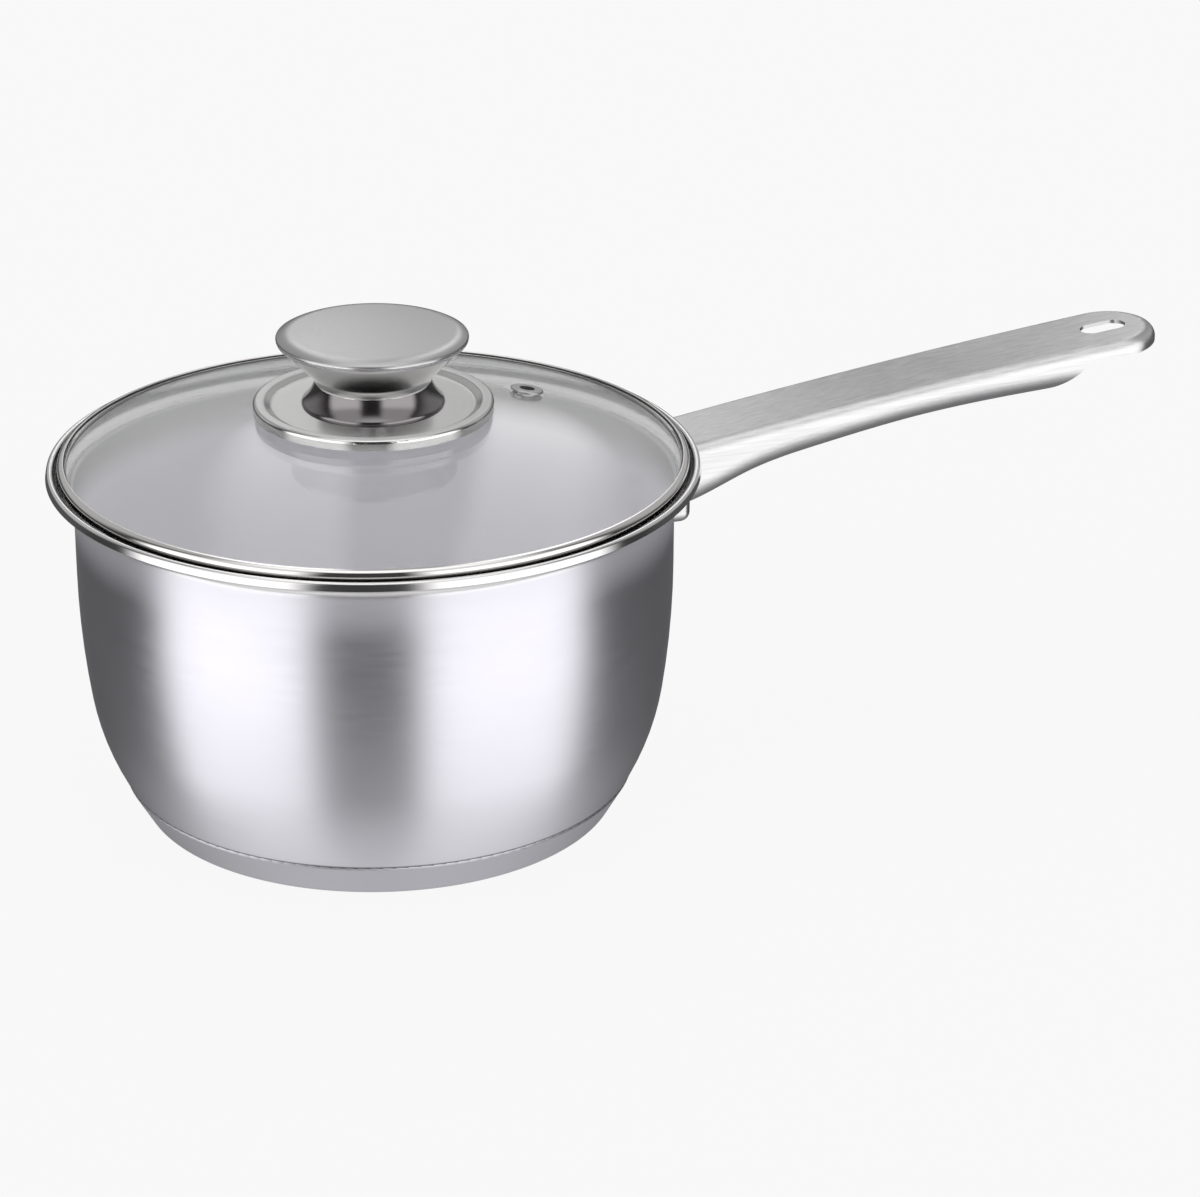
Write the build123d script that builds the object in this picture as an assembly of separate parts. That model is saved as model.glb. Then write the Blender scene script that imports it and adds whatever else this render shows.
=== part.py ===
from build123d import *
import os
from math import asin, cos, degrees, radians, sin, sqrt

# Saucepan with a domed glass lid, in millimetres.
# Origin: centre of the underside of the base.  +Z is up, +X points along the handle.

# ---- pan ----
PAN_INNER_R = 80.0          # a 16 cm pan
SHEET = 0.6                 # steel of the pan, its base cap and the knob's shells
PAN_R = PAN_INNER_R + SHEET
SHELL_BOTTOM_Z = 5.0        # underside of the shell, on top of the heat-spreading core
FLARE_Z = 91.3              # a plain cylinder up to here, then it flares into the pouring rim
BELLY_R = 240.0             # the gentle upper belly, below the cylinder
BELLY_DEPTH = 35.0
HIP_R = 69.0                # the fuller curve under it
HIP_END = 60.0              # steepness, in degrees, where the corner of the floor begins
CORNER_R = 9.7              # from the hip into the flat floor

# pouring rim: flares out, turns up round the lid's seat, and curls over
SEAT_BEND_R = 3.0
SEAT_BEND = 65.0
SEAT_RUN = 2.65
UPSTAND_BEND_R = 2.1
UPSTAND_BEND = 45.0
UPSTAND_RUN = 1.1
CURL_R = 0.4
CURL_BEND = 150.0
CURL_RUN = 1.3

# ---- encapsulated base ----
BASE_R = 62.5               # flat face that it stands on
CAP_CORNER_R = 3.0
CAP_SIDE = 59.8             # steepness of the cap's side, in degrees
CAP_SIDE_TOP_Z = 9.55
CAP_LIP_R = 0.7             # the cap's top edge turns in to the shell, which leaves a fine groove
CAP_LIP_TURN = 75.0

# ---- handle ----
HANDLE_SHEET = 1.0
HANDLE_START = 80.0         # distances from the pan's axis
HANDLE_ROOT = 88.0
HANDLE_TIP = 231.0
HANDLE_ROOT_Z = 95.0        # top face, just under the rim
HANDLE_SLOPE = 0.152
HANDLE_ARCH = 0.00021
ROOT_HALF_WIDTH = 12.8
TIP_HALF_WIDTH = 14.4
TOP_EDGE_R = 3.2
LOWER_EDGE_R = 6.3
# (distance from the axis, depth of the section below the top face)
HANDLE_DEPTHS = [(80, 18.2), (88, 17.6), (105, 13.3), (125, 11.1), (155, 9.8), (192, 10.8), (240, 12.5)]
# the underside curves up and stops, as (distance, depth), and the tip is open below
UNDERSIDE_END = [(189, 11.4), (198.5, 9.0), (205, 4.3)]
TIP_WALL = 4.3
SPARE_LENGTH = 9.0          # the raw block runs on past the tip before the plan view trims it
HALF_ROOM = 30.0            # half width of raw blocks, wider than any part of the handle
TRIM_LOW_Z = 60.0           # raw shapes are cut to the pan's curve from below the handle up
UPPER_ABOVE = 6.0           # an edge less than this below the top face is an upper one
LOWER_BELOW = 8.5           # an edge more than this below it is a lower one
STEEP = 0.7                 # an edge whose direction rises more than this is an upright one
SLOT_AT = 216.0             # the slot it hangs by
SLOT_LENGTH = 13.5
SLOT_WIDTH = 7.0

# ---- bracket between pan and handle ----
BRACKET_SHEET = 1.5
BRACKET_HALF_WIDTH = 10.8
BRACKET_LOW_Z = 72.0
BRACKET_TOP_Z = 91.0
LUG_END = 87.8
LUG_EDGE_R = 3.2
LUG_NOSE_R = 2.8
LUG_HEIGHT = 8.0            # before the handle trims it
TONGUE_END = 114.0

# ---- lid ----
GLASS_THICKNESS = 3.2
GLASS_APEX_Z = 112.9
GLASS_DOME_R = 269.0
GLASS_EDGE_R = 83.5
GLASS_SEAT_Z = 96.85        # the underside of the rim is ground flat here
BAND_SHEET = 0.4
BAND_R = 84.65
BAND_LOW_Z = 96.3
BAND_TOP_R = 82.9
BAND_LOW_R = 81.5
BAND_STANDS = 0.6           # how far its inner edge stands above the glass
BAND_CORNER_R = 1.5
SEAL_START_R = 82.3

VENT_RADIUS = 47.6
VENT_AZIMUTH = 11.8
VENT_HOLE_R = 2.1
VENT_TUBE_R = 2.6
VENT_FLANGE_R = 4.5
VENT_FLANGE = 0.6
VENT_CURL_R = 3.4
VENT_CURL = 0.4
VENT_RING = 0.8

# ---- knob and its screw ----
SCREW_R = 2.5
SCREW_TOP_Z = 119.0
INSERT_BORE_R = SCREW_R + 0.05
GLASS_HOLE_R = 4.0
UNDER_GASKET = 1.0
PLAIN_WASHER = 0.8
SPRING_WASHER = 0.9
SCREW_HEAD_R = 4.6
SCREW_HEAD = 3.0
SCREW_HEAD_EDGE_R = 1.3
SCREW_TIP_CHAMFER = 0.5
RECESS_LENGTH = 4.8         # cross recess, half as deep as the head
RECESS_WIDTH = 0.9
WASHER_SPLIT = 0.6
WASHER_SPLIT_LEAN = 25.0
WASHER_R = 8.0
FLANGE_R = 32.2
FLANGE_FLOOR_Z = 113.9
FLANGE_RIM_LOW_Z = 112.3
FLANGE_RIM_TOP_Z = 115.2
FLANGE_EDGE_R = 1.0
FLANGE_EDGE_WIDTH = 1.6     # flat on top of the thick edge
FLANGE_RAMP = 35.0          # from the sunk floor up to it, in degrees
FLANGE_RAMP_R = 1.2
WAIST_R = 15.6
WAIST_Z = 120.6
SEAM = 0.5                  # dark joint between the two halves of the knob
SEAM_DEPTH = 0.35
# the foot rolls in from the flange and flares up to the waist; headings are in degrees from level
FOOT_START = 60.0
FOOT_BEND_R = 1.2
FOOT_END = 137.0
FOOT_FLARE_R = 12.0
WAIST_BELOW = 112.0
# above the waist a cone leads out to the crown, which turns upright
WAIST_ABOVE = 80.0
WAIST_BEND_R = 4.0
CONE = 44.5
CROWN_BEND_R = 2.0
CROWN_Z = 132.6
CAP_EDGE_R = 0.7            # rounded edge of the top disc, a tight bend and then a wide one
CAP_EDGE_TURN = 60.0
CAP_SHOULDER_R = 7.5
CAP_SHOULDER_TURN = 28.0
INSERT_R = 5.0
INSERT_COLLAR_R = 8.0
INSERT_COLLAR = 1.0
BULKHEAD = 0.8

GAP = 0.05                  # between pieces that touch


# ---- small helpers ----
def spin(face):
    """Turn a face drawn as (radius, height) round the Z axis."""
    return Rot(90, 0, 0) * revolve(face, Axis.Y, 360)


def tube(inner_r, outer_r, low_z, high_z):
    """A plain ring."""
    height = high_z - low_z
    ring = Cylinder(outer_r, height, align=(Align.CENTER, Align.CENTER, Align.MIN))
    ring -= Cylinder(inner_r, height, align=(Align.CENTER, Align.CENTER, Align.MIN))
    return Pos(0, 0, low_z) * ring


def disc(radius, low_z, high_z):
    """A plain round plate."""
    return Pos(0, 0, low_z) * Cylinder(radius, high_z - low_z, align=(Align.CENTER, Align.CENTER, Align.MIN))


def follow(start, heading, moves, shift=0.0):
    """Edges of a smooth path of runs and bends, moved sideways to its left by shift.

    A run is (length,) and a bend is (radius, degrees), where a left turn is positive.
    """
    x, y = start
    x -= shift * sin(radians(heading))
    y += shift * cos(radians(heading))
    edges = []
    for move in moves:
        if len(move) == 1:
            step = (move[0] * cos(radians(heading)), move[0] * sin(radians(heading)))
            edges.append(Edge.make_line((x, y), (x + step[0], y + step[1])))
            x, y = x + step[0], y + step[1]
        else:
            radius, turn = move
            side = 1 if turn > 0 else -1
            radius -= side * shift
            centre = (x - side * radius * sin(radians(heading)), y + side * radius * cos(radians(heading)))
            points = []
            for part in (0.5, 1.0):
                angle = radians(heading + part * turn)
                points.append((centre[0] + side * radius * sin(angle), centre[1] - side * radius * cos(angle)))
            edges.append(Edge.make_three_point_arc((x, y), points[0], points[1]))
            x, y = points[1]
            heading += turn
    return edges


def travel(heading, moves):
    """How far a path of runs and bends goes, as (across, up)."""
    end = follow((0, 0), heading, moves)[-1] @ 1
    return end.X, end.Y


def sheet(start, heading, moves, inner, outer=0.0):
    """The section of a bent sheet, between two sideways shifts of one path."""
    right = follow(start, heading, moves, outer)
    left = follow(start, heading, moves, inner)
    ends = [Edge.make_line(right[-1] @ 1, left[-1] @ 1), Edge.make_line(left[0] @ 0, right[0] @ 0)]
    return make_face(right + left + ends)


# ---- pan ----
def pan_moves():
    """The outside of the pan from the edge of its flat floor to the end of the curled rim."""
    belly = degrees(asin(BELLY_DEPTH / BELLY_R))
    bowl = [(CORNER_R, HIP_END), (HIP_R, 90 - HIP_END - belly), (BELLY_R, belly)]
    cylinder = FLARE_Z - SHELL_BOTTOM_Z - travel(0, bowl)[1]
    return bowl + [
        (cylinder,),
        (SEAT_BEND_R, -SEAT_BEND),
        (SEAT_RUN,),
        (UPSTAND_BEND_R, UPSTAND_BEND),
        (UPSTAND_RUN,),
        (CURL_R, -CURL_BEND),
        (CURL_RUN,),
    ]


def pan_section(inner, outer=0.0):
    """Section of the pan's sheet: floor, wall and rim."""
    wall_reach = travel(0, pan_moves()[:3])[0]
    floor_r = PAN_R - wall_reach
    return sheet((0, SHELL_BOTTOM_Z), 0, [(floor_r,)] + pan_moves(), inner, outer)


def pan_shell():
    return spin(pan_section(SHEET))


def pan_filled():
    """Everything inside the outside of the pan's lower part, for fitting the base to it."""
    floor_r = PAN_R - travel(0, pan_moves()[:3])[0]
    outline = follow((0, SHELL_BOTTOM_Z), 0, [(floor_r,)] + pan_moves()[:3])
    top = outline[-1] @ 1
    outline.append(Edge.make_line(top, (0, top.Y)))
    outline.append(Edge.make_line((0, top.Y), (0, SHELL_BOTTOM_Z)))
    return spin(make_face(outline))


def base_moves():
    """Outside of the cap: flat bottom, rounded corner, sloping side and turned-in top edge."""
    corner = (CAP_CORNER_R, CAP_SIDE)
    side = (CAP_SIDE_TOP_Z - travel(0, [corner])[1]) / sin(radians(CAP_SIDE))
    return [(BASE_R,), corner, (side,), (CAP_LIP_R, CAP_LIP_TURN)]


def base_cap():
    """Steel cap pressed over the aluminium core."""
    return spin(sheet((0, 0), 0, base_moves(), SHEET)) - pan_filled()


def base_core():
    """Aluminium disc that fills the cap up to the shell."""
    outline = follow((0, 0), 0, base_moves(), SHEET)
    top = outline[-1] @ 1
    outline.append(Edge.make_line(top, (0, top.Y)))
    outline.append(Edge.make_line((0, top.Y), (0, SHEET)))
    return spin(make_face(outline)) - pan_filled()


# ---- handle ----
def handle_top(distance, drop=0.0):
    """Point on the handle's top line, or drop below it."""
    run = distance - HANDLE_ROOT
    return (distance, HANDLE_ROOT_Z + HANDLE_SLOPE * run - HANDLE_ARCH * run * run - drop)


def long_edges(block):
    """Edges that run along the handle or round its tip, not up and down."""
    edges = []
    for edge in block.edges():
        if edge.center().X > HANDLE_START + 1 and abs((edge % 0.5).Z) < STEEP:
            edges.append(edge)
    return edges


def handle_block(inset):
    """The handle's outer shape, or the same shape shrunk by inset on every side."""
    far = HANDLE_TIP + SPARE_LENGTH
    middle = (HANDLE_START + far) / 2
    roof = Spline([handle_top(d, inset) for d in (HANDLE_START, middle, far)])
    under = Spline([handle_top(d, depth - inset) for d, depth in HANDLE_DEPTHS])
    side = make_face([roof, Line(roof @ 1, under @ 1), under, Line(under @ 0, roof @ 0)])
    block = extrude(Plane.XZ * side, HALF_ROOM, both=True)
    round_r = TIP_HALF_WIDTH - inset
    root_half = ROOT_HALF_WIDTH - inset
    tip_centre = HANDLE_TIP - TIP_HALF_WIDTH
    plan = make_face([
        Line((HANDLE_START, -root_half), (tip_centre, -round_r)),
        ThreePointArc((tip_centre, -round_r), (HANDLE_TIP - inset, 0), (tip_centre, round_r)),
        Line((tip_centre, round_r), (HANDLE_START, root_half)),
        Line((HANDLE_START, root_half), (HANDLE_START, -root_half)),
    ])
    block = block & extrude(plan, 2 * HANDLE_ROOT_Z)
    upper = [e for e in long_edges(block) if e.center().Z > handle_top(e.center().X, UPPER_ABOVE)[1]]
    block = fillet(upper, TOP_EDGE_R - inset)
    lower = [e for e in long_edges(block) if e.center().Z < handle_top(e.center().X, LOWER_BELOW)[1]]
    return fillet(lower, LOWER_EDGE_R - inset)


def underside_cut():
    """Space under the tip, where the handle is open below."""
    start, middle, end = [handle_top(distance, depth) for distance, depth in UNDERSIDE_END]
    far = handle_top(HANDLE_TIP + SPARE_LENGTH, TIP_WALL)
    low = start[1] - 2 * TIP_WALL
    outline = ThreePointArc(start, middle, end) + Polyline(end, far, (far[0], low), (start[0], low), start)
    return extrude(Plane.XZ * make_face(outline), HALF_ROOM, both=True)


def hang_slot():
    """Round-ended slot through the top of the handle, square to its top face."""
    x, z = handle_top(SLOT_AT)
    slope = degrees(HANDLE_SLOPE - 2 * HANDLE_ARCH * (SLOT_AT - HANDLE_ROOT))
    return Pos(x, 0, z) * Rot(0, -slope, 0) * extrude(SlotOverall(SLOT_LENGTH, SLOT_WIDTH), TIP_WALL, both=True)


def handle_shell(outer_block):
    """Hollow formed handle: a tube that opens below at its tip."""
    shell = outer_block - handle_block(HANDLE_SHEET) - underside_cut() - hang_slot()
    shell -= disc(PAN_R + BRACKET_SHEET + GAP, TRIM_LOW_Z, GLASS_APEX_Z)
    return shell - spin(pan_section(SHEET, -2 * GAP))


def handle_bracket(outer_block):
    """Curved plate welded to the pan, with a tongue into the handle and a lug under it."""
    fit = HANDLE_SHEET + GAP
    plate_r = PAN_R + BRACKET_SHEET
    weld_r = PAN_R + BRACKET_SHEET / 2
    tongue = handle_block(fit) - handle_block(fit + BRACKET_SHEET)
    tongue &= Pos(TONGUE_END / 2, 0, HANDLE_ROOT_Z) * Box(TONGUE_END, 2 * HALF_ROOM, 2 * HALF_ROOM)
    tongue -= disc(weld_r, TRIM_LOW_Z, GLASS_APEX_Z)
    height = BRACKET_TOP_Z - BRACKET_LOW_Z
    footprint = Pos(PAN_R, 0, BRACKET_LOW_Z + height / 2) * Box(HALF_ROOM, 2 * BRACKET_HALF_WIDTH, height)
    plate = tube(PAN_R, plate_r, BRACKET_LOW_Z, BRACKET_TOP_Z) & footprint
    lug_outline = Pos(LUG_END / 2, 0) * RectangleRounded(LUG_END, 2 * BRACKET_HALF_WIDTH, LUG_EDGE_R)
    lug = Pos(0, 0, BRACKET_LOW_Z) * extrude(lug_outline, LUG_HEIGHT)
    nose = [e for e in lug.edges() if e.center().X > PAN_R and e.center().Z < BRACKET_LOW_Z + GAP]
    lug = fillet(nose, LUG_NOSE_R)
    lug -= disc(weld_r, TRIM_LOW_Z, GLASS_APEX_Z)
    lug -= Pos(0, 0, -GAP) * outer_block
    lug = lug.solids().sort_by(Axis.Z)[0]
    return (plate + lug + tongue) - spin(pan_section(SHEET, -GAP))


# ---- lid ----
def dome_z(radius, depth=0.0):
    """Height of the glass's top face, or of the sphere that lies depth below it."""
    return GLASS_APEX_Z - GLASS_DOME_R + sqrt((GLASS_DOME_R - depth) ** 2 - radius * radius)


def dome(depth):
    """Ball whose top is the glass's top face, or lies depth below it."""
    return Pos(0, 0, GLASS_APEX_Z - GLASS_DOME_R) * Sphere(GLASS_DOME_R - depth)


def vent_place(depth=0.0):
    """Frame on the glass at the vent, square to the dome."""
    height = dome_z(VENT_RADIUS, depth)
    lean = degrees(asin(VENT_RADIUS / GLASS_DOME_R))
    return Rot(0, 0, VENT_AZIMUTH) * Pos(VENT_RADIUS, 0, height) * Rot(0, lean, 0)


def glass_solid():
    """Domed glass without its holes."""
    return (dome(0) - dome(GLASS_THICKNESS)) & disc(GLASS_EDGE_R, GLASS_SEAT_Z, GLASS_APEX_Z + 1)


def lid_glass():
    glass = glass_solid() - disc(GLASS_HOLE_R, GLASS_SEAT_Z, GLASS_APEX_Z + 1)
    return glass - vent_place() * Cylinder(VENT_TUBE_R + GAP, 4 * GLASS_THICKNESS)


def band_moves():
    """Outside of the band, from its inner top edge round to its inner lower edge."""
    lean = degrees(asin(BAND_TOP_R / GLASS_DOME_R))
    corner = BAND_CORNER_R
    top_turn = 90 - lean
    rest = travel(-lean, [(corner, -top_turn)])[0]
    top_run = (BAND_R - BAND_TOP_R - rest) / cos(radians(lean))
    start_z = dome_z(BAND_TOP_R) + BAND_STANDS
    drop = -travel(-lean, [(top_run,), (corner, -top_turn)])[1]
    side_run = start_z - drop - corner - BAND_LOW_Z
    low_run = BAND_R - corner - BAND_LOW_R
    moves = [(top_run,), (corner, -top_turn), (side_run,), (corner, -90), (low_run,)]
    return (BAND_TOP_R, start_z), -lean, moves


def lid_band():
    """Steel channel rolled round the edge of the glass."""
    start, heading, moves = band_moves()
    return spin(sheet(start, heading, moves, 0.0, -BAND_SHEET))


def band_seal():
    """Silicone bead between the band and the edge of the glass."""
    start, heading, moves = band_moves()
    outline = follow(start, heading, moves, -BAND_SHEET)
    outline.append(Edge.make_line(outline[-1] @ 1, outline[0] @ 0))
    channel = spin(make_face(outline)) - disc(SEAL_START_R, BAND_LOW_Z, GLASS_APEX_Z)
    return channel - glass_solid()


def vent_eyelet():
    """Flanged steel eyelet, opened out underneath to hold itself in."""
    reach = GLASS_THICKNESS + VENT_RING
    flange = fillet(disc(VENT_FLANGE_R, 0, VENT_FLANGE).edges().sort_by(Axis.Z)[-1:], VENT_FLANGE * 0.8)
    barrel = disc(VENT_TUBE_R, -reach, 0)
    curl = disc(VENT_CURL_R, -reach - VENT_CURL, -reach)
    return vent_place() * (flange + barrel + curl - Cylinder(VENT_HOLE_R, 4 * reach))


def vent_ring():
    """Washer that spreads the eyelet's load on the underside of the glass."""
    ring = tube(VENT_TUBE_R + GAP, VENT_FLANGE_R, -GLASS_THICKNESS - VENT_RING, -GLASS_THICKNESS)
    return vent_place() * ring & dome(GLASS_THICKNESS)


# ---- knob screw and its washers ----
UNDER_GLASS_Z = GLASS_APEX_Z - GLASS_THICKNESS
UNDER_GASKET_Z = UNDER_GLASS_Z - UNDER_GASKET
PLAIN_WASHER_Z = UNDER_GASKET_Z - PLAIN_WASHER
SPRING_WASHER_Z = PLAIN_WASHER_Z - SPRING_WASHER
SCREW_LOW_Z = SPRING_WASHER_Z - SCREW_HEAD


def gasket_upper():
    """Silicone washer between the glass and the knob's flange."""
    flat_top = FLANGE_FLOOR_Z - SHEET - GAP
    return tube(SCREW_R + 0.6, 12.0, GLASS_APEX_Z - 1, flat_top) - dome(0)


def gasket_lower():
    """Silicone washer under the glass, with a sleeve that lines the hole."""
    washer = tube(SCREW_R + 0.2, WASHER_R, UNDER_GASKET_Z, UNDER_GLASS_Z) & dome(GLASS_THICKNESS)
    sleeve = tube(SCREW_R + 0.2, GLASS_HOLE_R - GAP, UNDER_GASKET_Z, GLASS_APEX_Z - 0.1)
    return washer + sleeve


def screw_washer():
    return tube(SCREW_R + 0.15, WASHER_R - 1, PLAIN_WASHER_Z, UNDER_GASKET_Z)


def lock_washer():
    """Spring washer, split on one side."""
    ring = tube(SCREW_R + 0.1, SCREW_HEAD_R - 0.2, SPRING_WASHER_Z, PLAIN_WASHER_Z)
    cut = Box(SCREW_HEAD_R, WASHER_SPLIT, 6 * SPRING_WASHER, align=(Align.MIN, Align.CENTER, Align.CENTER))
    return ring - Pos(0, 0, SPRING_WASHER_Z) * Rot(WASHER_SPLIT_LEAN, 0, 0) * cut


def knob_screw():
    """Pan-head screw with a cross recess, driven from under the glass."""
    head = disc(SCREW_HEAD_R, SCREW_LOW_Z, SPRING_WASHER_Z)
    head = fillet(head.edges().sort_by(Axis.Z)[:1], SCREW_HEAD_EDGE_R)
    shank = disc(SCREW_R, SPRING_WASHER_Z, SCREW_TOP_Z)
    shank = chamfer(shank.edges().sort_by(Axis.Z)[-1:], SCREW_TIP_CHAMFER)
    screw = head + shank
    for turn in (0, 90):
        screw -= Pos(0, 0, SCREW_LOW_Z) * Rot(0, 0, turn) * Box(RECESS_LENGTH, RECESS_WIDTH, SCREW_HEAD)
    return screw


# ---- knob ----
def knob_flange():
    """Round plate under the fingers, with a thick turned-down edge."""
    bends = [(FLANGE_RAMP_R, FLANGE_RAMP), (FLANGE_RAMP_R, -FLANGE_RAMP)]
    rise = FLANGE_RIM_TOP_Z - FLANGE_FLOOR_Z - travel(0, bends)[1]
    ramp = [bends[0], (rise / sin(radians(FLANGE_RAMP)),), bends[1]]
    edge = [(FLANGE_EDGE_WIDTH,), (FLANGE_EDGE_R, -90), (FLANGE_RIM_TOP_Z - FLANGE_EDGE_R - FLANGE_RIM_LOW_Z,)]
    hole = INSERT_R + GAP
    floor = FLANGE_R - hole - travel(0, ramp + edge)[0]
    return spin(sheet((hole, FLANGE_FLOOR_Z), 0, [(floor,)] + ramp + edge, 0.0, -SHEET))


def knob_lower_shell():
    """Flared foot of the knob, from the flange up to the waist."""
    low_z = FLANGE_FLOOR_Z + GAP
    moves = [(FOOT_BEND_R, FOOT_END - FOOT_START), (FOOT_FLARE_R, WAIST_BELOW - FOOT_END)]
    rise = WAIST_Z - SEAM / 2 - low_z - travel(FOOT_START, moves)[1]
    moves.append((rise / sin(radians(WAIST_BELOW)),))
    start_r = WAIST_R - travel(FOOT_START, moves)[0]
    return spin(sheet((start_r, low_z), FOOT_START, moves, SHEET))


def cone_moves():
    """Outside of the knob from the waist to the crown: a bend, the cone and the upright crown."""
    bends = [(WAIST_BEND_R, CONE - WAIST_ABOVE), (CROWN_BEND_R, 90 - CONE)]
    rise = CROWN_Z - WAIST_Z - SEAM / 2 - travel(WAIST_ABOVE, bends)[1]
    return [bends[0], (rise / sin(radians(CONE)),), bends[1]]


def knob_upper_shell():
    """Cone from the waist out to the crown."""
    return spin(sheet((WAIST_R, WAIST_Z + SEAM / 2), WAIST_ABOVE, cone_moves(), SHEET))


def knob_cap():
    """Disc with a rounded edge that closes the crown, very slightly domed."""
    low_z = CROWN_Z + GAP
    crown_r = WAIST_R + travel(WAIST_ABOVE, cone_moves())[0]
    edge = [(CAP_EDGE_R, CAP_EDGE_TURN), (CAP_SHOULDER_R, CAP_SHOULDER_TURN)]
    rest = 90 - CAP_EDGE_TURN - CAP_SHOULDER_TURN
    dome_r = (crown_r + travel(90, edge)[0]) / sin(radians(rest))
    outline = follow((crown_r, low_z), 90, edge + [(dome_r, rest)])
    outline.append(Edge.make_line(outline[-1] @ 1, (0, low_z)))
    outline.append(Edge.make_line((0, low_z), (crown_r, low_z)))
    return spin(make_face(outline))


def knob_insert():
    """Threaded bush that takes the screw and joins flange, foot and bulkhead."""
    low_z = FLANGE_FLOOR_Z - SHEET
    bush = disc(INSERT_R, low_z, WAIST_Z - BULKHEAD / 2)
    bush += disc(INSERT_COLLAR_R, FLANGE_FLOOR_Z, FLANGE_FLOOR_Z + INSERT_COLLAR)
    return bush - disc(INSERT_BORE_R, low_z, WAIST_Z)


def knob_bulkhead():
    """Plate across the waist that both halves of the knob are welded to."""
    plate = disc(WAIST_R - SHEET, WAIST_Z - BULKHEAD / 2, WAIST_Z + BULKHEAD / 2)
    rim = disc(WAIST_R - SEAM_DEPTH, WAIST_Z - SEAM / 2 + GAP, WAIST_Z + SEAM / 2 - GAP)
    return plate + rim - knob_lower_shell() - knob_upper_shell()


def main():
    os.makedirs("parts", exist_ok=True)
    outer_block = handle_block(0)
    parts = {
        "pan_shell": pan_shell(),
        "base_core": base_core(),
        "base_cap": base_cap(),
        "handle_bracket": handle_bracket(outer_block),
        "handle_shell": handle_shell(outer_block),
        "lid_glass": lid_glass(),
        "lid_band": lid_band(),
        "band_seal": band_seal(),
        "vent_eyelet": vent_eyelet(),
        "vent_ring": vent_ring(),
        "gasket_upper": gasket_upper(),
        "gasket_lower": gasket_lower(),
        "screw_washer": screw_washer(),
        "lock_washer": lock_washer(),
        "knob_screw": knob_screw(),
        "knob_flange": knob_flange(),
        "knob_lower_shell": knob_lower_shell(),
        "knob_upper_shell": knob_upper_shell(),
        "knob_cap": knob_cap(),
        "knob_insert": knob_insert(),
        "knob_bulkhead": knob_bulkhead(),
    }
    for name, shape in parts.items():
        export_step(shape, f"parts/{name}.step")
        box = shape.bounding_box()
        print(name, len(shape.solids()), round(shape.volume, 1), box.min, box.max)


main()
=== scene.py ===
"""Looks for the saucepan with a glass lid: satin and polished steel, clear glass, silicone, a pale studio.

Everything is in metres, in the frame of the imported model: origin under the middle of the base, Z up, X along
the handle.
"""

import math

import bmesh
import bpy
from mathutils import Matrix, Vector


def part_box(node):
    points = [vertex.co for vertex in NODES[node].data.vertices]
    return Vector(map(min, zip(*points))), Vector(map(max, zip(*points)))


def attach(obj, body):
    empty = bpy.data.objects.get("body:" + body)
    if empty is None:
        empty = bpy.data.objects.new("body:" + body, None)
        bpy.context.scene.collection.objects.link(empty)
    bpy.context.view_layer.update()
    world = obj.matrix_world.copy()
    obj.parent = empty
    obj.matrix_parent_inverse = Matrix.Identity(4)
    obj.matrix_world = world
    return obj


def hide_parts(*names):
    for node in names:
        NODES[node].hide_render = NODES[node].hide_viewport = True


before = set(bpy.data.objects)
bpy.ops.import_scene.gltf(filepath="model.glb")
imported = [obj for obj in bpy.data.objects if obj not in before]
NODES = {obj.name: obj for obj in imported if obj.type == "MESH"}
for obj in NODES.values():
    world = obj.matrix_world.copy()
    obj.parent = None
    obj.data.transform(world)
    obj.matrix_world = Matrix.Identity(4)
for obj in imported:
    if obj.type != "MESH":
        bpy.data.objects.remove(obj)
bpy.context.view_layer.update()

DEGREES = 180.0 / math.pi


# ---------------------------------------------------------------- camera


CAMERA_AZIMUTH = math.radians(-20.0)
CAMERA_ELEVATION = math.radians(22.95)
CAMERA_ROLL = math.radians(0.3)
CAMERA_DISTANCE = 1.1
CAMERA_TARGET = Vector((0.05707, -0.02074, 0.05758))
CAMERA_NEAREST = 0.05
CAMERA_FARTHEST = 50.0
LENS = 121.2
SENSOR = 36.0


def camera_axes():
    """The camera's right, up and back directions."""
    a, e = CAMERA_AZIMUTH, CAMERA_ELEVATION
    back = Vector((math.sin(a) * math.cos(e), -math.cos(a) * math.cos(e), math.sin(e)))
    right = Vector((math.cos(a), math.sin(a), 0.0))
    up = back.cross(right)
    turned_right = right * math.cos(CAMERA_ROLL) + up * math.sin(CAMERA_ROLL)
    turned_up = up * math.cos(CAMERA_ROLL) - right * math.sin(CAMERA_ROLL)
    return turned_right, turned_up, back


def make_camera():
    """Sets up the camera of the main view."""
    right, up, back = camera_axes()
    data = bpy.data.cameras.new("camera")
    data.sensor_width = SENSOR
    data.lens = LENS
    data.clip_start = CAMERA_NEAREST
    data.clip_end = CAMERA_FARTHEST
    camera = bpy.data.objects.new("camera", data)
    bpy.context.scene.collection.objects.link(camera)
    place = CAMERA_TARGET + back * CAMERA_DISTANCE
    turn = Matrix((right, up, back)).transposed().to_4x4()
    camera.matrix_world = Matrix.Translation(place) @ turn
    bpy.context.scene.camera = camera


# ---------------------------------------------------------------- node helpers


NOISE_DETAIL = 3.0


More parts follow.
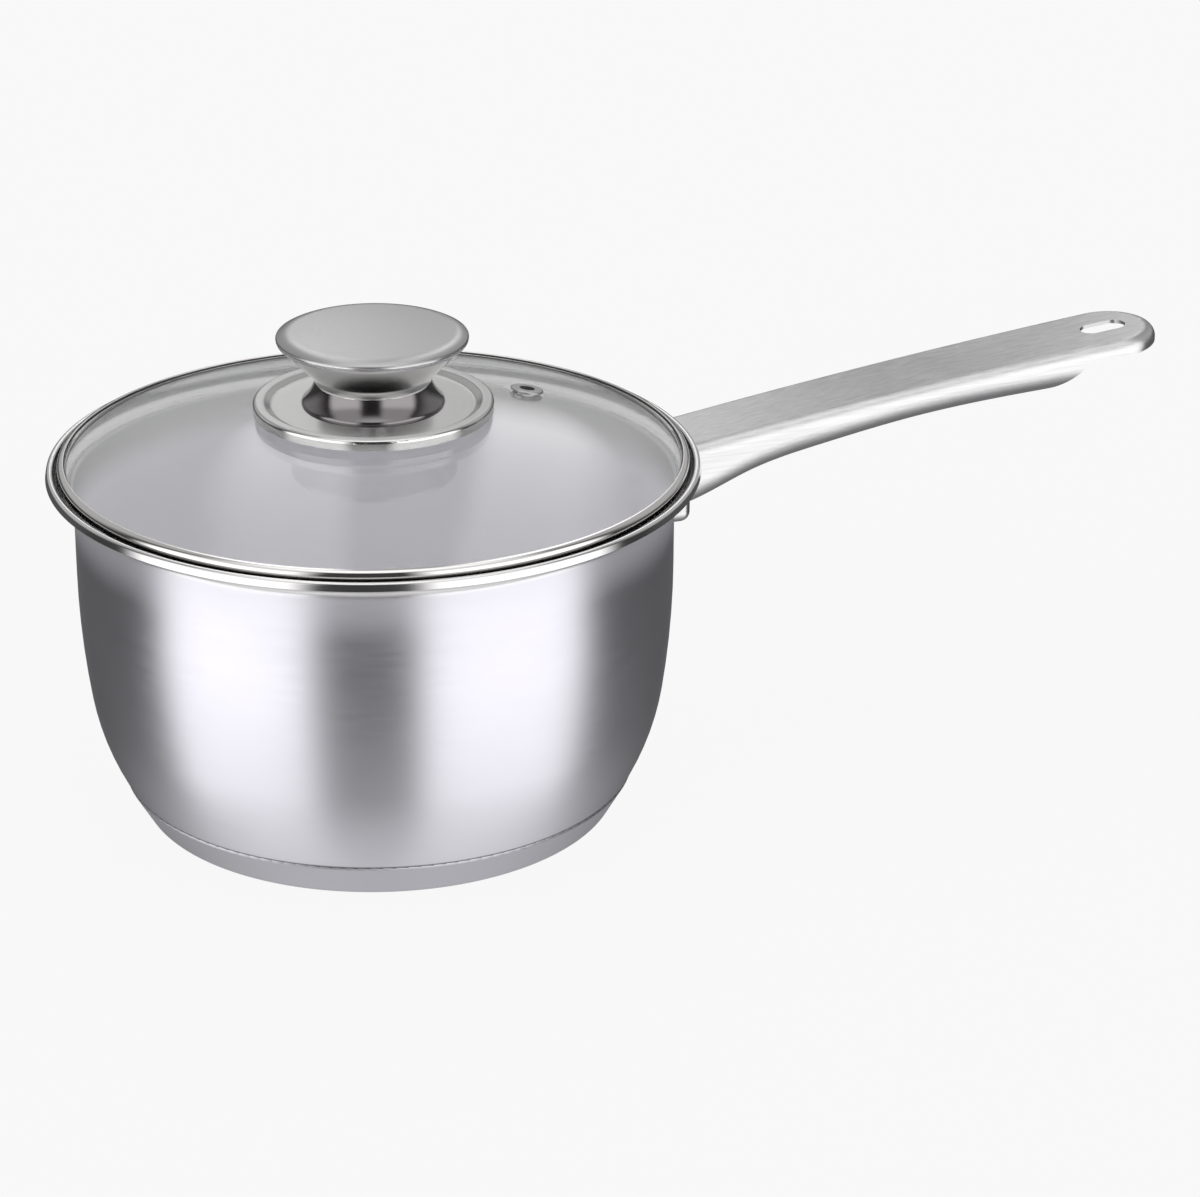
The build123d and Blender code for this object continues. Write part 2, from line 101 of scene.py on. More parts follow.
class Tree:
    """Short calls for building one node tree."""

    def __init__(self, tree):
        self.tree = tree
        tree.nodes.clear()

    def node(self, kind, **settings):
        made = self.tree.nodes.new(kind)
        for name, value in settings.items():
            setattr(made, name, value)
        return made

    def feed(self, socket, value):
        """Links value if it is a socket, else sets it."""
        if isinstance(value, bpy.types.NodeSocket):
            self.tree.links.new(value, socket)
        else:
            socket.default_value = value

    def made_with(self, kind, *values, **settings):
        """The first output of a new node with these inputs, in their order."""
        made = self.node(kind, **settings)
        for socket, value in zip(made.inputs, values):
            self.feed(socket, value)
        return made.outputs[0]

    def math(self, operation, *values, clamp=False):
        return self.made_with("ShaderNodeMath", *values, operation=operation, use_clamp=clamp)

    def plus(self, first, second):
        return self.math("ADD", first, second)

    def minus(self, first, second):
        return self.math("SUBTRACT", first, second)

    def times(self, first, *others):
        product = first
        for other in others:
            product = self.math("MULTIPLY", product, other)
        return product

    def ramp(self, value, start, end, low=0.0, high=1.0):
        """A smooth step: low up to start, high from end on."""
        made = self.node("ShaderNodeMapRange", interpolation_type="SMOOTHSTEP")
        self.feed(made.inputs["Value"], value)
        self.feed(made.inputs["From Min"], start)
        self.feed(made.inputs["From Max"], end)
        self.feed(made.inputs["To Min"], low)
        self.feed(made.inputs["To Max"], high)
        return made.outputs["Result"]

    def within(self, value, low, high, soft):
        """1 between low and high and 0 beyond them, with soft edges."""
        rise = self.ramp(value, low - soft, low + soft)
        fall = self.ramp(value, high - soft, high + soft, 1.0, 0.0)
        return self.times(rise, fall)

    def mix(self, factor, first, second):
        """A colour between first and second."""
        made = self.node("ShaderNodeMix", data_type="RGBA")
        self.feed(made.inputs["Factor"], factor)
        self.feed(made.inputs["A"], first)
        self.feed(made.inputs["B"], second)
        return made.outputs["Result"]

    def noise(self, vector, scale, roughness):
        made = self.node("ShaderNodeTexNoise")
        self.feed(made.inputs["Vector"], vector)
        self.feed(made.inputs["Scale"], scale)
        self.feed(made.inputs["Detail"], NOISE_DETAIL)
        self.feed(made.inputs["Roughness"], roughness)
        return made.outputs["Fac"]

    def join(self, x, y, z):
        return self.made_with("ShaderNodeCombineXYZ", x, y, z)

    def split(self, vector):
        made = self.node("ShaderNodeSeparateXYZ")
        self.feed(made.inputs[0], vector)
        return made.outputs

    def bump(self, height, distance, strength=1.0):
        made = self.node("ShaderNodeBump")
        self.feed(made.inputs["Height"], height)
        self.feed(made.inputs["Distance"], distance)
        self.feed(made.inputs["Strength"], strength)
        return made.outputs[0]

    def coordinate(self, name):
        return self.node("ShaderNodeTexCoord").outputs[name]

    def light_path(self, name):
        return self.node("ShaderNodeLightPath").outputs[name]

    def principled(self, values):
        """A Principled shader with these inputs, by name."""
        made = self.node("ShaderNodeBsdfPrincipled")
        for name, value in values.items():
            self.feed(made.inputs[name], value)
        return made.outputs[0]

    def blend(self, factor, first, second):
        """A shader between first and second."""
        return self.made_with("ShaderNodeMixShader", factor, first, second)


# ---------------------------------------------------------------- studio


WHITE = (1.0, 1.0, 1.0, 1.0)
PALE = 0.945
FLOOR_HALF = 6.0
FLOOR_Z = -0.0002
FLOOR_COLOUR = (0.9, 0.9, 0.9, 1.0)
FLOOR_GLOW = 0.97

# Soft boxes round the object. Azimuth is measured from the camera, to its right, and elevation from the
# horizon, in degrees: (middle azimuth, half width, soft edge, lowest, highest, soft edge up and down,
# strength).
SOFT_BOXES = [
    (-53.5, 32.0, 8.0, -44.0, 42.0, 14.0, 1.75),
    (54.0, 34.5, 8.0, -44.0, 42.0, 14.0, 1.75),
    (-56.0, 32.0, 8.0, 30.0, 100.0, 14.0, 0.95),
    (54.0, 34.5, 8.0, 30.0, 100.0, 14.0, 0.95),
    (-54.0, 34.0, 14.0, -140.0, -44.0, 14.0, 1.0),
    (54.0, 36.0, 14.0, -140.0, -44.0, 14.0, 1.0),
    (0.0, 70.0, 12.0, 76.0, 140.0, 10.0, 1.5),
    (0.0, 400.0, 1.0, 62.0, 140.0, 12.0, 1.5),
    (180.0, 75.0, 20.0, 6.0, 62.0, 10.0, 0.55),
    (180.0, 75.0, 15.0, -60.0, 6.0, 10.0, 0.1),
    (0.0, 400.0, 1.0, -140.0, -42.0, 25.0, 0.78),
]
AMBIENT = 0.055
LEAST_FLAT = 1e-6

# A pair of tall lights behind the object, either side of a dark gap, that lean apart as they rise, for the
# two pale streaks on the glass. Distances off the middle are in degrees at the foot.
BEHIND = 180.0
PAIR_LOW = 16.0
PAIR_HIGH = 64.0
PAIR_SOFT = 8.0
PAIR_SPREAD = 1.5 / 31.0
PAIR_LEAST_SPREAD = 0.5
PAIR_FOOT = 20.0
PAIR_INNER = (1.4, 3.9)
PAIR_OUTER = (7.0, 12.5)
PAIR_STRENGTH = 2.1
PAIR_TOP_STRENGTH = 1.6


def off_middle(t, x, y, flat, middle):
    """Degrees sideways between the world's direction and an azimuth measured from the camera."""
    a = CAMERA_AZIMUTH + math.radians(middle)
    along = t.plus(t.times(x, math.sin(a)), t.times(y, -math.cos(a)))
    off = t.math("ARCCOSINE", t.math("MINIMUM", t.math("DIVIDE", along, flat), 1.0))
    return t.times(off, DEGREES)


def pair_light(t, x, y, flat, elevation):
    """The strength of the pair of tall lights in the world's direction."""
    rise = t.times(t.minus(elevation, PAIR_FOOT), PAIR_SPREAD)
    spread = t.math("MAXIMUM", t.plus(rise, 1.0), PAIR_LEAST_SPREAD)
    off = t.math("DIVIDE", off_middle(t, x, y, flat, BEHIND), spread)
    sides = t.times(t.ramp(off, *PAIR_INNER), t.ramp(off, *PAIR_OUTER, 1.0, 0.0))
    strength = t.ramp(elevation, PAIR_LOW, PAIR_HIGH, PAIR_STRENGTH, PAIR_TOP_STRENGTH)
    return t.times(sides, strength, t.within(elevation, PAIR_LOW, PAIR_HIGH, PAIR_SOFT))


def make_world():
    """The soft boxes light the object, while the camera sees an even pale background."""
    world = bpy.data.worlds.new("studio")
    world.use_nodes = True
    bpy.context.scene.world = world
    t = Tree(world.node_tree)
    x, y, z = t.split(t.coordinate("Generated"))
    flat = t.math("SQRT", t.math("MAXIMUM", t.minus(1.0, t.times(z, z)), LEAST_FLAT))
    elevation = t.times(t.math("ARCSINE", z), DEGREES)
    total = AMBIENT
    for middle, half, soft, low, high, soft_up, strength in SOFT_BOXES:
        off = off_middle(t, x, y, flat, middle)
        inside = t.ramp(off, half - soft, half + soft, 1.0, 0.0)
        box = t.times(inside, t.within(elevation, low, high, soft_up), strength)
        total = t.math("MAXIMUM", total, box)
    total = t.math("MAXIMUM", total, pair_light(t, x, y, flat, elevation))
    lit = t.made_with("ShaderNodeBackground", WHITE, total)
    seen = t.made_with("ShaderNodeBackground", (PALE, PALE, PALE, 1.0))
    direct = t.math("MAXIMUM", t.light_path("Is Camera Ray"), t.light_path("Is Transmission Ray"))
    out = t.node("ShaderNodeOutputWorld")
    t.feed(out.inputs["Surface"], t.blend(direct, lit, seen))


def make_floor():
    """A wide pale floor that takes a faint shadow and doesn't show in reflections."""
    mesh = bpy.data.meshes.new("floor")
    s = FLOOR_HALF
    mesh.from_pydata([(-s, -s, 0), (s, -s, 0), (s, s, 0), (-s, s, 0)], [], [(0, 1, 2, 3)])
    floor = bpy.data.objects.new("floor", mesh)
    bpy.context.scene.collection.objects.link(floor)
    floor.location.z = FLOOR_Z
    material, t = new_material("floor")
    glow = t.made_with("ShaderNodeEmission", WHITE, PALE)
    matt = t.made_with("ShaderNodeBsdfDiffuse", FLOOR_COLOUR)
    finish_material(t, t.blend(FLOOR_GLOW, matt, glow))
    mesh.materials.append(material)
    floor.visible_glossy = False
    floor.visible_shadow = False


# ---------------------------------------------------------------- material parts


# Most of a noise lies between these two levels.
NOISE_SPAN = (0.3, 0.7)
CLOUD_SCALE = 18.0
CLOUD_ROUGHNESS = 0.55
GRAIN_ROUGHNESS = 0.6
GRAIN_DEPTH = 0.00001

# Grain round the axis: lines a metre across it, and changes a radian along it.
POLISHED_GRAIN = (1400.0, 4.0)
PLATE_GRAIN = (1400.0, 5.0)
BASE_GRAIN = (1400.0, 6.0)
DRAWN_GRAIN = (900.0, 6.0)

# Painted shade for gaps up to this wide, darkened in colour: fully at the first of these shares of open
# surroundings, and not at all from the second.
GAP_WIDTH = 0.004
GAP_OPEN = (0.25, 0.68)
GAP_SAMPLES = 8
GAP_SHADE_COLOUR = (0.03, 0.028, 0.028, 1.0)

QUARTER_TURN = 0.25


def new_material(name):
    material = bpy.data.materials.new(name)
    material.use_nodes = True
    return material, Tree(material.node_tree)


def finish_material(t, shader):
    out = t.node("ShaderNodeOutputMaterial")
    t.feed(out.inputs["Surface"], shader)


def axis_distance(t, x, y):
    return t.math("SQRT", t.plus(t.times(x, x), t.times(y, y)))


def spun(t, across, along_turn):
    """Fine rings round the Z axis, as a lathe or a polishing wheel leaves: noise drawn out round the axis."""
    x, y, z = t.split(t.coordinate("Object"))
    turn = t.times(t.math("ARCTAN2", y, x), along_turn)
    stretched = t.join(turn, t.times(axis_distance(t, x, y), across), t.times(z, across))
    return t.noise(stretched, 1.0, GRAIN_ROUGHNESS)


def clouds(t):
    """Broad soft patches."""
    return t.noise(t.coordinate("Object"), CLOUD_SCALE, CLOUD_ROUGHNESS)


def average(t, first, second):
    return t.times(t.plus(first, second), 0.5)


def graded(t, noise, low, high):
    """Spreads a noise from low to high."""
    return t.ramp(noise, *NOISE_SPAN, low, high)


def facing_up(t):
    """The surface's tilt: 1 where it faces up, 0 where it is upright, -1 where it faces down."""
    return t.split(t.coordinate("Normal"))[2]


def crevice_shade(t):
    """How much painted shade the gap between lid and lip gets: 1 deep in it, and 0 in the open."""
    closed = t.node("ShaderNodeAmbientOcclusion", samples=GAP_SAMPLES)
    t.feed(closed.inputs["Distance"], GAP_WIDTH)
    return t.ramp(closed.outputs["AO"], *GAP_OPEN, 1.0, 0.0)


# ---------------------------------------------------------------- materials


BAND_COLOUR = (0.68, 0.67, 0.66, 1.0)
BAND_SIDE_TILT = (0.05, 0.45)
BAND_GAP_SHADE_SHARE = 0.5
BAND_ROUGHNESS = (0.06, 0.11)

# The bowl, with heights for the groove over its base, the polished neck and collar, and the curled lip.
# The groove and the collar inside are darkened in colour as painted shade.
BOWL_SEAM = (0.0103, 0.0110)
BOWL_NECK = (0.077, 0.0905)
BOWL_COLLAR = (0.078, 0.0915)
BOWL_LIP = (0.0905, 0.0925)
BOWL_INSIDE_TILT = (-0.1, 0.1)
BOWL_OUTSIDE_COLOUR = (0.655, 0.645, 0.695, 1.0)
BOWL_INSIDE_COLOUR = (0.96, 0.945, 0.985, 1.0)
BOWL_COLLAR_SHADE_COLOUR = (0.44, 0.435, 0.43, 1.0)
BOWL_LIP_COLOUR = (0.68, 0.67, 0.67, 1.0)
BOWL_SEAM_SHADE = 0.85
BOWL_INSIDE_METAL = 0.34
BOWL_COLLAR_METAL = 0.5
BOWL_NECK_METAL_LOSS = 0.25
BOWL_ANISOTROPY = 0.75
BOWL_OUTSIDE_ROUGHNESS = 0.36
BOWL_INSIDE_ROUGHNESS = 0.6
BOWL_LIP_ROUGHNESS = 0.16
BOWL_ROUGHNESS_SPREAD = 0.03

BASE_COLOURS = ((0.46, 0.455, 0.495, 1.0), (0.51, 0.505, 0.545, 1.0))
BASE_GROOVE_TILT = (0.1, 0.45)
BASE_GROOVE_SHADE_COLOUR = (0.09, 0.09, 0.095, 1.0)
BASE_ROUGHNESS = (0.39, 0.45)

FLANGE_EDGE_COLOUR = (0.68, 0.675, 0.67, 1.0)
FLANGE_FACE_COLOURS = ((0.40, 0.398, 0.395, 1.0), (0.50, 0.498, 0.495, 1.0))
FLANGE_FACE_TILT = (0.75, 0.9)
FLANGE_FACE_ROUGHNESS = (0.3, 0.36)
FLANGE_EDGE_ROUGHNESS = 0.08
FLANGE_GRAIN_DEPTH = 0.000005

# The handle's grain: lines a metre along it and across it.
HANDLE_GRAIN_ALONG = 40.0
HANDLE_GRAIN_ACROSS = 1600.0
HANDLE_STREAK_SHARES = (0.7, 0.3)
HANDLE_UNDER_TILT = (-0.7, 0.08)
HANDLE_TOP_TILT = (0.7, 0.98)
HANDLE_SIDE_COLOURS = ((0.54, 0.54, 0.545, 1.0), (0.68, 0.678, 0.685, 1.0))
# Painted shade: the handle's top is given darker colours than its sides.
HANDLE_TOP_SHADE_COLOURS = ((0.36, 0.358, 0.36, 1.0), (0.50, 0.496, 0.50, 1.0))
# Painted shade for the handle's underside.
HANDLE_UNDER_SHADE_COLOUR = (0.16, 0.16, 0.165, 1.0)
HANDLE_ANISOTROPY = 0.7
HANDLE_ROUGHNESS = (0.3, 0.38)

# Plain steels: colour, roughness, its spread, grain, depth of the grain.
# Painted shade: the waist's polished steel gets a dark colour in place of the dark it would reflect.
WAIST_SHADE_STEEL = ((0.22, 0.208, 0.212), 0.14, 0.03, POLISHED_GRAIN, 0.0)
MIRROR_STEEL = ((0.68, 0.67, 0.67), 0.08, 0.02, POLISHED_GRAIN, 0.0)
CAP_STEEL = ((0.43, 0.43, 0.43), 0.32, 0.03, DRAWN_GRAIN, GRAIN_DEPTH)
CLOUD_SHADE = 0.95

GLASS_COLOUR = (0.975, 0.985, 0.98, 1.0)
GLASS_SHADOW_COLOUR = (0.9, 0.91, 0.905, 1.0)
GLASS_IOR = 1.5

SILICONE_SCALE = 300.0
SILICONE_NOISE_ROUGHNESS = 0.5
SILICONE_COLOURS = ((0.025, 0.025, 0.027, 1.0), (0.04, 0.04, 0.043, 1.0))
SILICONE_ROUGHNESS = (0.5, 0.65)


def band_steel():
    """The rolled channel round the glass: polished, with painted shade in the gap beside the lip."""
    material, t = new_material("band_steel")
    side = t.ramp(facing_up(t), *BAND_SIDE_TILT, 1.0, 0.0)
    # Painted shade: the band's side darkens in colour deep in the gap beside the lip.
    closed = t.times(side, crevice_shade(t), BAND_GAP_SHADE_SHARE)
    finish_material(t, t.principled({
        "Base Color": t.mix(closed, BAND_COLOUR, GAP_SHADE_COLOUR),
        "Metallic": 1.0,
        "Roughness": graded(t, spun(t, *POLISHED_GRAIN), *BAND_ROUGHNESS),
    }))
    return material


def pan_steel():
    """The drawn bowl: satin outside, matt and light inside, polished on the flare and the curled lip."""
    material, t = new_material("pan_steel")
    fine = spun(t, *DRAWN_GRAIN)
    x, y, z = t.split(t.coordinate("Object"))
    nx, ny, nz = t.split(t.coordinate("Normal"))
    outward = t.math("DIVIDE", t.plus(t.times(x, nx), t.times(y, ny)), axis_distance(t, x, y))
    inside = t.ramp(t.minus(nz, outward), *BOWL_INSIDE_TILT)
    lip = t.ramp(z, *BOWL_LIP)
    below_lip = t.minus(1.0, lip)
    neck = t.times(t.ramp(z, *BOWL_NECK), below_lip)
    # Painted shade: the collar at the top of the inner wall is darker in colour.
    collar = t.times(inside, t.ramp(z, *BOWL_COLLAR))
    # Painted shade: a dark line in the groove over the base, on the outside only.
    seam_shade = t.times(t.ramp(z, *BOWL_SEAM, BOWL_SEAM_SHADE, 0.0), t.minus(1.0, inside))
    # Painted shade in the gap beside the lip, together with the groove's line.
    dark = t.math("MAXIMUM", t.times(lip, crevice_shade(t)), seam_shade)
    colour = t.mix(inside, BOWL_OUTSIDE_COLOUR, BOWL_INSIDE_COLOUR)
    colour = t.mix(collar, colour, BOWL_COLLAR_SHADE_COLOUR)
    colour = t.mix(lip, colour, BOWL_LIP_COLOUR)
    body_metal = t.ramp(inside, 0.0, 1.0, 1.0, BOWL_INSIDE_METAL)
    metal = t.math("ADD", body_metal, t.times(collar, BOWL_COLLAR_METAL), clamp=True)
    uneven = graded(t, average(t, fine, clouds(t)), -BOWL_ROUGHNESS_SPREAD, BOWL_ROUGHNESS_SPREAD)
    body = t.plus(uneven, t.ramp(inside, 0.0, 1.0, BOWL_OUTSIDE_ROUGHNESS, BOWL_INSIDE_ROUGHNESS))
    shiny = t.plus(uneven, BOWL_LIP_ROUGHNESS)
    finish_material(t, t.principled({
        "Base Color": t.mix(dark, colour, GAP_SHADE_COLOUR),
        "Metallic": t.minus(metal, t.times(neck, BOWL_NECK_METAL_LOSS)),
        "Anisotropic": BOWL_ANISOTROPY,
        "Anisotropic Rotation": QUARTER_TURN,
        "Tangent": t.made_with("ShaderNodeTangent", direction_type="RADIAL", axis="Z"),
        "Roughness": t.plus(t.times(body, below_lip), t.times(shiny, lip)),
        "Normal": t.bump(fine, GRAIN_DEPTH),
    }))
    return material


def base_steel():
    """The cap under the base: satin, with painted shade where its top edge turns in to the wall."""
    material, t = new_material("satin_base")
    fine = spun(t, *BASE_GRAIN)
    cloud = clouds(t)
    # Painted shade on the upward-facing top edge, in place of the light it would catch.
    groove = t.ramp(facing_up(t), *BASE_GROOVE_TILT)
    finish_material(t, t.principled({
        "Base Color": t.mix(groove, t.mix(cloud, *BASE_COLOURS), BASE_GROOVE_SHADE_COLOUR),
        "Metallic": 1.0,
        "Roughness": graded(t, average(t, fine, cloud), *BASE_ROUGHNESS),
        "Normal": t.bump(fine, GRAIN_DEPTH),
    }))
    return material


def flange_steel():
    """The plate under the knob: satin on its level face, polished on its edge and ramp."""
    material, t = new_material("flange_steel")
    fine = spun(t, *PLATE_GRAIN)
    level = t.ramp(facing_up(t), *FLANGE_FACE_TILT)
    satin = graded(t, fine, *FLANGE_FACE_ROUGHNESS)
    shine = t.times(t.minus(1.0, level), FLANGE_EDGE_ROUGHNESS)
    finish_material(t, t.principled({
        "Base Color": t.mix(level, FLANGE_EDGE_COLOUR, t.mix(fine, *FLANGE_FACE_COLOURS)),
        "Metallic": 1.0,
        "Roughness": t.plus(t.times(satin, level), shine),
        "Normal": t.bump(fine, FLANGE_GRAIN_DEPTH, level),
    }))
    return material


def handle_steel():
    """The handle: satin, brushed along its length, so its reflections are drawn out round its section."""
    material, t = new_material("satin_handle")
    x, y, z = t.split(t.coordinate("Object"))
    across = HANDLE_GRAIN_ACROSS
    stretched = t.join(t.times(x, HANDLE_GRAIN_ALONG), t.times(y, across), t.times(z, across))
    fine = t.noise(stretched, 1.0, GRAIN_ROUGHNESS)
    cloud = clouds(t)
    tilt = facing_up(t)
    fine_share, cloud_share = HANDLE_STREAK_SHARES
    streaks = graded(t, t.plus(t.times(fine, fine_share), t.times(cloud, cloud_share)), 0.0, 1.0)
    side = t.mix(streaks, *HANDLE_SIDE_COLOURS)
    # Painted shade: the top of the handle is darker in colour than its sides.
    top = t.mix(streaks, *HANDLE_TOP_SHADE_COLOURS)
    colour = t.mix(t.ramp(tilt, *HANDLE_TOP_TILT), side, top)
    # Painted shade: the handle darkens in colour where it faces down.
    under = t.ramp(tilt, *HANDLE_UNDER_TILT, 1.0, 0.0)
    finish_material(t, t.principled({
        "Base Color": t.mix(under, colour, HANDLE_UNDER_SHADE_COLOUR),
        "Metallic": 1.0,
        "Anisotropic": HANDLE_ANISOTROPY,
        "Anisotropic Rotation": QUARTER_TURN,
        "Tangent": t.join(1.0, 0.0, 0.0),
        "Roughness": graded(t, average(t, fine, cloud), *HANDLE_ROUGHNESS),
        "Normal": t.bump(fine, GRAIN_DEPTH),
    }))
    return material


def steel(name, colour, roughness, spread, grain, depth):
    """A plain steel, with grain round the axis that varies its roughness and, given a depth, its surface."""
    material, t = new_material(name)
    fine = spun(t, *grain)
    cloud = clouds(t)
    shaded = tuple(part * CLOUD_SHADE for part in colour)
    values = {
        "Base Color": t.mix(cloud, (*shaded, 1.0), (*colour, 1.0)),
        "Metallic": 1.0,
        "Roughness": graded(t, average(t, fine, cloud), roughness - spread, roughness + spread),
    }
    if depth:
        values["Normal"] = t.bump(fine, depth)
    finish_material(t, t.principled(values))
    return material


def clear_glass():
    """Glass that lets light through to the bowl with only a faint shadow."""
    material, t = new_material("clear_glass")
    glass = t.principled({
        "Base Color": GLASS_COLOUR,
        "Roughness": 0.0,
        "IOR": GLASS_IOR,
        "Transmission Weight": 1.0,
    })
    shadow = t.made_with("ShaderNodeBsdfTransparent", GLASS_SHADOW_COLOUR)
    finish_material(t, t.blend(t.light_path("Is Shadow Ray"), glass, shadow))
    return material


def silicone():
    """The near-black seal and gaskets."""
    material, t = new_material("silicone")
    cloud = t.noise(t.coordinate("Object"), SILICONE_SCALE, SILICONE_NOISE_ROUGHNESS)
    finish_material(t, t.principled({
        "Base Color": t.mix(cloud, *SILICONE_COLOURS),
        "Roughness": graded(t, cloud, *SILICONE_ROUGHNESS),
    }))
    return material


# ---------------------------------------------------------------- spun pieces


# Millimetres. The band has the CAD band's dimensions, and differs from it only in its two rounded edges.
DOME_R = 269.0
BAND_SHEET = 0.4
BAND_TOP_R = 82.9
BAND_LOW_R = 81.5
BAND_STANDS = 0.6
BAND_CORNER_R = 1.5
MM = 0.001

# How far a read-off outline may miss its node's box, in millimetres.
NEAR = 0.1

ROUND_STEPS = 8
LATHE_STEPS = 480
SHARP_ANGLE = 40.0
SAME_POINT = 1e-7
ON_PLANE = 1e-6


def arc(centre, radius, start, end):
    """Points on an arc, both ends among them; angles in degrees."""
    points = []
    for i in range(ROUND_STEPS + 1):
        a = math.radians(start + (end - start) * i / ROUND_STEPS)
        points.append((centre[0] + radius * math.cos(a), centre[1] + radius * math.sin(a)))
    return points


def band_outline():
    """The closed section of the band, radius and height, from its top edge out, down and back inwards."""
    low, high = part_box("lid_band")
    outer_r = high[0] / MM
    low_z = low[2] / MM
    glass_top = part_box("lid_glass")[1][2] / MM
    lean = math.degrees(math.asin(BAND_TOP_R / DOME_R))
    start_z = glass_top - DOME_R + math.sqrt(DOME_R ** 2 - BAND_TOP_R ** 2) + BAND_STANDS
    corner_r = outer_r - BAND_CORNER_R
    tilt = math.radians(lean)
    run = (corner_r + BAND_CORNER_R * math.sin(tilt) - BAND_TOP_R) / math.cos(tilt)
    corner_z = start_z - run * math.sin(tilt) - BAND_CORNER_R * math.cos(tilt)
    half = BAND_SHEET / 2
    top_edge = (BAND_TOP_R + half * math.cos(tilt) - half * math.sin(tilt),
                start_z - half * math.sin(tilt) - half * math.cos(tilt))
    inner_r = BAND_CORNER_R - BAND_SHEET
    upper = (corner_r, corner_z)
    lower = (corner_r, low_z + BAND_CORNER_R)
    points = arc(top_edge, half, 270.0 - lean, 90.0 - lean)
    points += arc(upper, BAND_CORNER_R, 90.0 - lean, 0.0)
    points += arc(lower, BAND_CORNER_R, 0.0, -90.0)
    points += arc((BAND_LOW_R + half, low_z + half), half, 270.0, 90.0)
    points += arc(lower, inner_r, -90.0, 0.0)
    points += arc(upper, inner_r, 0.0, 90.0 - lean)
    return points


def lathe(name, outline, closed=True):
    """Spins an outline, in millimetres, into a smooth piece round Z."""
    count = len(outline)
    points = []
    faces = []
    for i in range(LATHE_STEPS):
        a = 2 * math.pi * i / LATHE_STEPS
        points += [(r * MM * math.cos(a), r * MM * math.sin(a), z * MM) for r, z in outline]
        after = (i + 1) % LATHE_STEPS
        for j in range(count if closed else count - 1):
            k = (j + 1) % count
            faces.append((i * count + j, i * count + k, after * count + k, after * count + j))
    mesh = bpy.data.meshes.new(name)
    mesh.from_pydata(points, [], faces)
    work = bmesh.new()
    work.from_mesh(mesh)
    bmesh.ops.remove_doubles(work, verts=work.verts, dist=SAME_POINT)
    bmesh.ops.recalc_face_normals(work, faces=work.faces)
    work.to_mesh(mesh)
    work.free()
    mesh.shade_smooth()
    mesh.set_sharp_from_angle(angle=math.radians(SHARP_ANGLE))
    piece = bpy.data.objects.new(name, mesh)
    bpy.context.scene.collection.objects.link(piece)
    return piece


def cut_through_axis(work, direction, clear_inner=False):
    """Cuts a mesh along a plane through the origin and returns what lies on the cut."""
    cut = bmesh.ops.bisect_plane(work, geom=work.verts[:] + work.edges[:] + work.faces[:], dist=ON_PLANE,
                                 plane_co=(0, 0, 0), plane_no=direction, clear_inner=clear_inner)
    return cut["geom_cut"]


def half_section(node):
    """A round node's outline on one side of Z, from one end on the axis to the other, in millimetres."""
    work = bmesh.new()
    work.from_mesh(NODES[node].data)
    bmesh.ops.remove_doubles(work, verts=work.verts, dist=SAME_POINT)
    cut_through_axis(work, (1, 0, 0), clear_inner=True)
    beside = {}
    for edge in cut_through_axis(work, (0, 1, 0)):
        if isinstance(edge, bmesh.types.BMEdge):
            one, other = edge.verts
            beside.setdefault(one, []).append(other)
            beside.setdefault(other, []).append(one)
    at = max(beside, key=lambda v: (len(beside[v]) == 1, v.co.z))
    chain = [at]
    while True:
        onward = [v for v in beside[at] if v not in chain]
        if not onward:
            break
        at = onward[0]
        chain.append(at)
    outline = [(v.co.x / MM, v.co.z / MM) for v in chain]
    work.free()
    return outline


def spans(outline, node):
    """Whether an outline runs from the axis to the axis and reaches its node's radius, foot and top."""
    low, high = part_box(node)
    radii = [r for r, z in outline]
    heights = [z for r, z in outline]
    misses = (radii[0], radii[-1], max(radii) - high[0] / MM,
              min(heights) - low[2] / MM, max(heights) - high[2] / MM)
    return all(abs(miss) < NEAR for miss in misses)


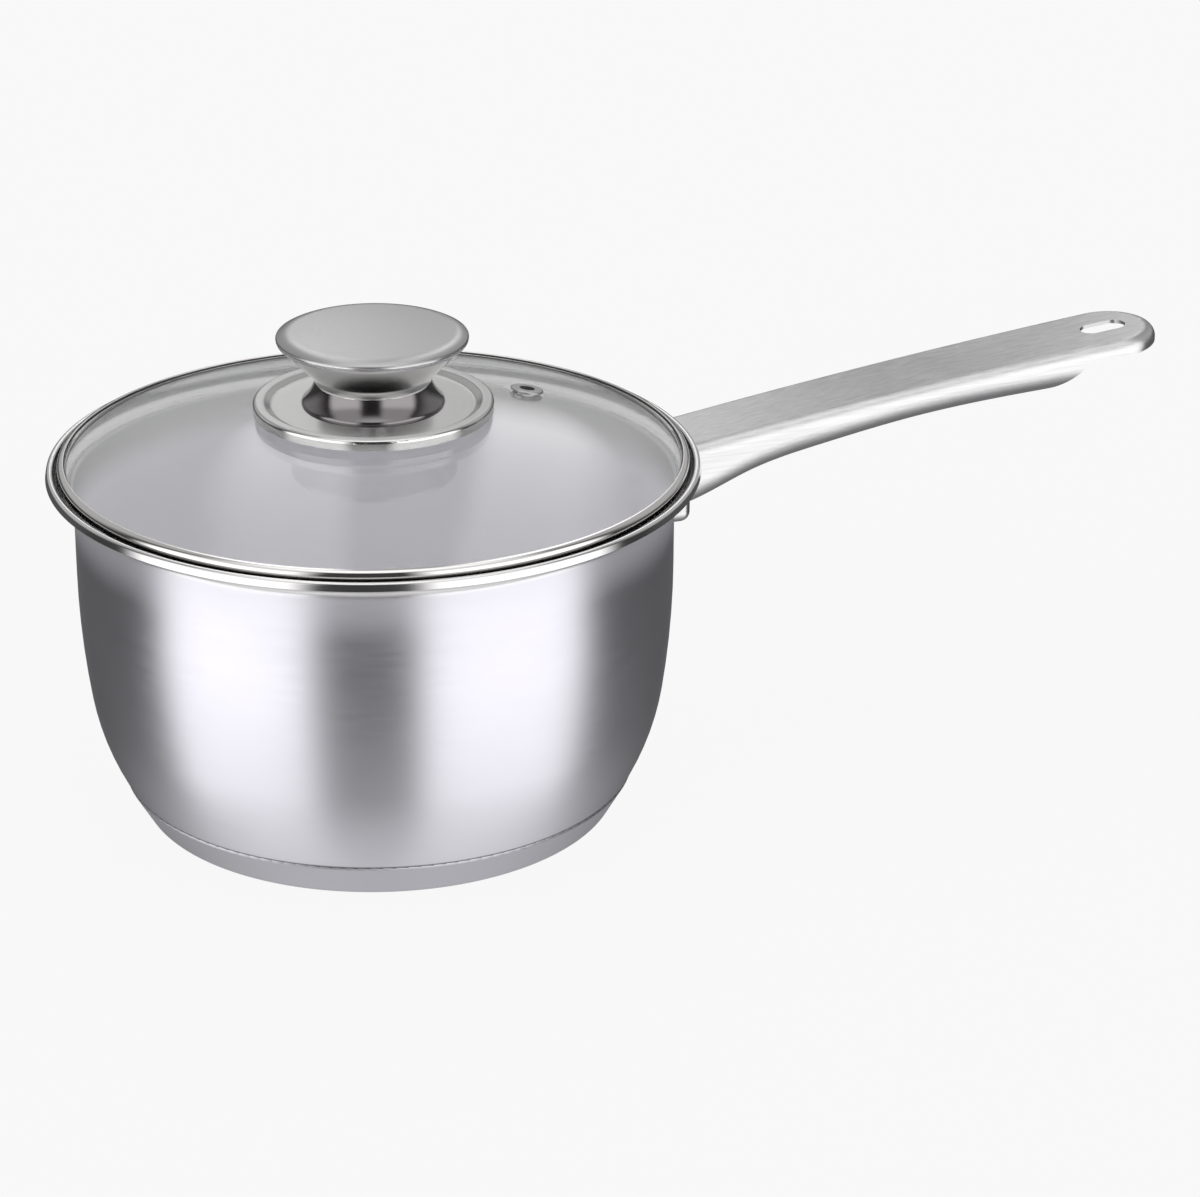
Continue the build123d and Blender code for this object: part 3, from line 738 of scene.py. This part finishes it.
def make_bowl(material):
    """Spins the drawn bowl again from its own section, so that its polished flare and lip shade evenly.

    The CAD bowl stays if its section can't be read off whole.
    """
    outline = half_section("pan_shell")
    if not spans(outline, "pan_shell"):
        return
    bowl = lathe("drawn_bowl", outline, closed=False)
    bowl.data.materials.append(material)
    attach(bowl, "pan")
    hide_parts("pan_shell")


def make_band(material):
    """The rolled channel round the glass, as a smooth ring in place of the CAD one."""
    band = lathe("rolled_band", band_outline())
    band.data.materials.append(material)
    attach(band, "lid")
    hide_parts("lid_band")


# ---------------------------------------------------------------- dressing


def dress(node, material):
    """Gives every slot of a CAD node this material."""
    for slot in NODES[node].material_slots:
        slot.material = material


def dress_all():
    """Gives every piece its material, and keeps parts of the knob out of reflections and soft shadows."""
    satin = pan_steel()
    base = base_steel()
    grip = handle_steel()
    # Painted shade: the knob's waist is polished steel in a dark colour.
    waist = steel("shaded_polish", *WAIST_SHADE_STEEL)
    mirror = steel("polished_steel", *MIRROR_STEEL)
    top = steel("brushed_top", *CAP_STEEL)
    glass = clear_glass()
    rubber = silicone()
    band = band_steel()
    flange = flange_steel()
    materials = {
        satin: ("pan_shell",),
        base: ("base_cap", "base_core"),
        grip: ("handle_shell", "handle_bracket"),
        band: ("lid_band",),
        waist: ("knob_lower_shell",),
        mirror: ("vent_ring", "knob_upper_shell", "knob_insert", "knob_bulkhead", "screw_washer",
                 "lock_washer", "knob_screw"),
        top: ("knob_cap", "vent_eyelet"),
        flange: ("knob_flange",),
        glass: ("lid_glass",),
        rubber: ("band_seal", "gasket_upper", "gasket_lower"),
    }
    for material, nodes in materials.items():
        for node in nodes:
            dress(node, material)
    make_bowl(satin)
    make_band(band)
    for node in ("knob_cap", "knob_upper_shell", "knob_lower_shell"):
        NODES[node].visible_glossy = False
    for node in ("knob_cap", "knob_upper_shell", "knob_flange"):
        NODES[node].visible_diffuse = False
        NODES[node].visible_shadow = False


make_camera()
make_world()
make_floor()
dress_all()
scene = bpy.context.scene
scene.view_settings.view_transform = "Standard"
scene.view_settings.look = "None"
